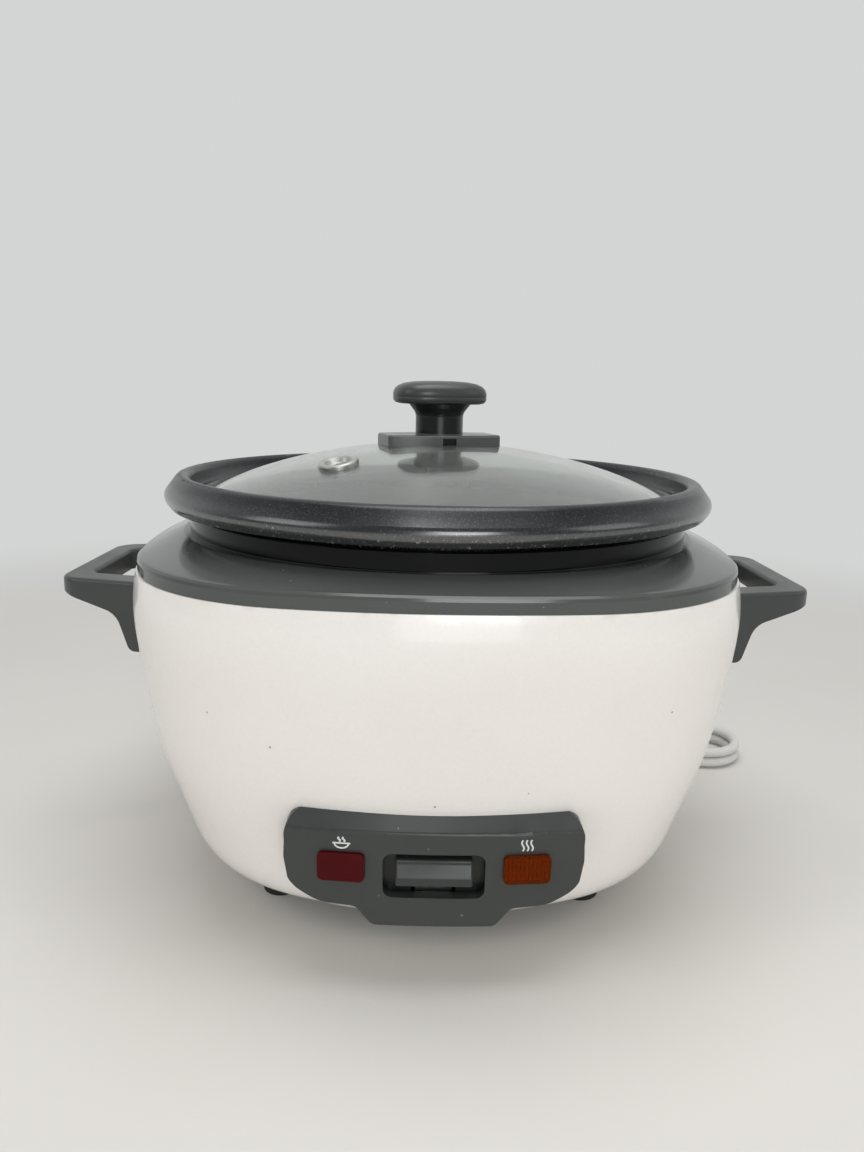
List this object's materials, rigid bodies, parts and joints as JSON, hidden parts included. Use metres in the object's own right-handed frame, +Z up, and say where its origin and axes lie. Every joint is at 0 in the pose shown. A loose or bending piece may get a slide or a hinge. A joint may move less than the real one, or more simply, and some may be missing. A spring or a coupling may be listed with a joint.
{
  "type": "rice cooker",
  "caption": "Countertop rice cooker with a rounded-square body, dark collar and handles, lift-out pot with a rolled rim, domed glass lid and a cook-warm lever.",
  "frame": {"origin": "on the surface the feet stand on, under the centre of the body", "axes": "+Z up along the pot axis, +X through the right handle as seen from the front, -Y towards the control panel"},
  "size_m": [0.4162, 0.3685, 0.261],
  "materials": {
    "white_paint": "gloss",
    "slate_plastic": "gloss",
    "knob_plastic": "gloss",
    "red_lens": "gloss",
    "amber_lens": "gloss",
    "lamp_glass": "gloss",
    "lid_glass": "gloss",
    "nonstick_pot": "satin",
    "cast_aluminium": "satin",
    "plated_steel": "satin",
    "ferrite": "matte",
    "brown_plastic": "matte",
    "pale_plastic": "matte",
    "wire_tie": "matte",
    "brass_blades": "bright",
    "foot_rubber": "matte"
  },
  "bodies": {
    "cooker": {"outer_shell": "white_paint", "top_collar": "slate_plastic", "left_handle": "slate_plastic", "right_handle": "slate_plastic", "control_panel": "slate_plastic", "cook_lens": "red_lens", "warm_lens": "amber_lens", "cook_lamp": "lamp_glass", "warm_lamp": "lamp_glass", "base_plate": "plated_steel", "inner_liner": "plated_steel", "heater_plate": "cast_aluminium", "heating_element": "plated_steel", "sensor_housing": "plated_steel", "sensor_spring": "plated_steel", "lever_pin": "plated_steel", "lever_bracket": "plated_steel", "lever_spring": "plated_steel", "micro_switch": "brown_plastic", "warm_thermostat": "plated_steel", "thermal_fuse": "pale_plastic", "terminal_block": "pale_plastic", "cord_gland": "pale_plastic", "cord_lead": "pale_plastic", "cord_hank": "pale_plastic", "cord_tie": "wire_tie", "plug_body": "pale_plastic", "plug_blade_1": "brass_blades", "plug_blade_2": "brass_blades", "handle_screw_1": "plated_steel", "handle_screw_2": "plated_steel", "handle_screw_3": "plated_steel", "handle_screw_4": "plated_steel", "foot_1": "foot_rubber", "foot_2": "foot_rubber", "foot_3": "foot_rubber", "foot_4": "foot_rubber", "base_screw_1": "plated_steel", "base_screw_2": "plated_steel", "base_screw_3": "plated_steel", "base_screw_4": "plated_steel", "plate_stud_1": "plated_steel", "plate_stud_2": "plated_steel", "plate_stud_3": "plated_steel"},
    "pot": {"inner_pot": "nonstick_pot", "pot_rim": "nonstick_pot"},
    "lid": {"lid_glass": "lid_glass", "lid_rim": "plated_steel", "vent_grommet": "plated_steel", "knob_base": "knob_plastic", "knob_cap": "knob_plastic", "knob_retainer": "knob_plastic", "knob_screw": "plated_steel"},
    "lever": {"lever_arm": "plated_steel", "lever_button": "slate_plastic"},
    "magnet": {"push_rod": "plated_steel", "latch_magnet": "ferrite"},
    "plunger": {"switch_plunger": "brown_plastic"},
    "sensor": {"sensor_cap": "cast_aluminium"}
  },
  "joints": [
    {"name": "pot_lift", "type": "slide", "parent": "cooker", "child": "pot", "axis": [0, 0, 1], "range_m": [0, 0.16]},
    {"name": "lid_lift", "type": "slide", "parent": "pot", "child": "lid", "axis": [0, 0, 1], "range_m": [0, 0.15]},
    {"name": "lever_press", "type": "hinge", "parent": "cooker", "child": "lever", "pos_m": [0, -0.062, 0.038], "axis": [1, 0, 0], "range_deg": [0, 3.6], "stiffness_Nm_per_rad": 0.6, "springref_deg": -6.88, "deforming": ["lever_spring"]},
    {"name": "magnet_rise", "type": "slide", "parent": "cooker", "child": "magnet", "axis": [0, 0, 1], "range_m": [0, 0.0039]},
    {"name": "plunger_press", "type": "slide", "parent": "cooker", "child": "plunger", "axis": [0, 0, 1], "range_m": [-0.0018, 0]},
    {"name": "sensor_travel", "type": "slide", "parent": "cooker", "child": "sensor", "axis": [0, 0, 1], "range_m": [-0.0015, 0], "stiffness_N_per_m": 400, "springref_m": 0.003, "deforming": ["sensor_spring"]}
  ],
  "couplings": [
    {"joint": "magnet_rise", "follows": "lever_press", "m_per_rad": 0.062},
    {"joint": "plunger_press", "follows": "lever_press", "m_per_rad": -0.028}
  ]
}
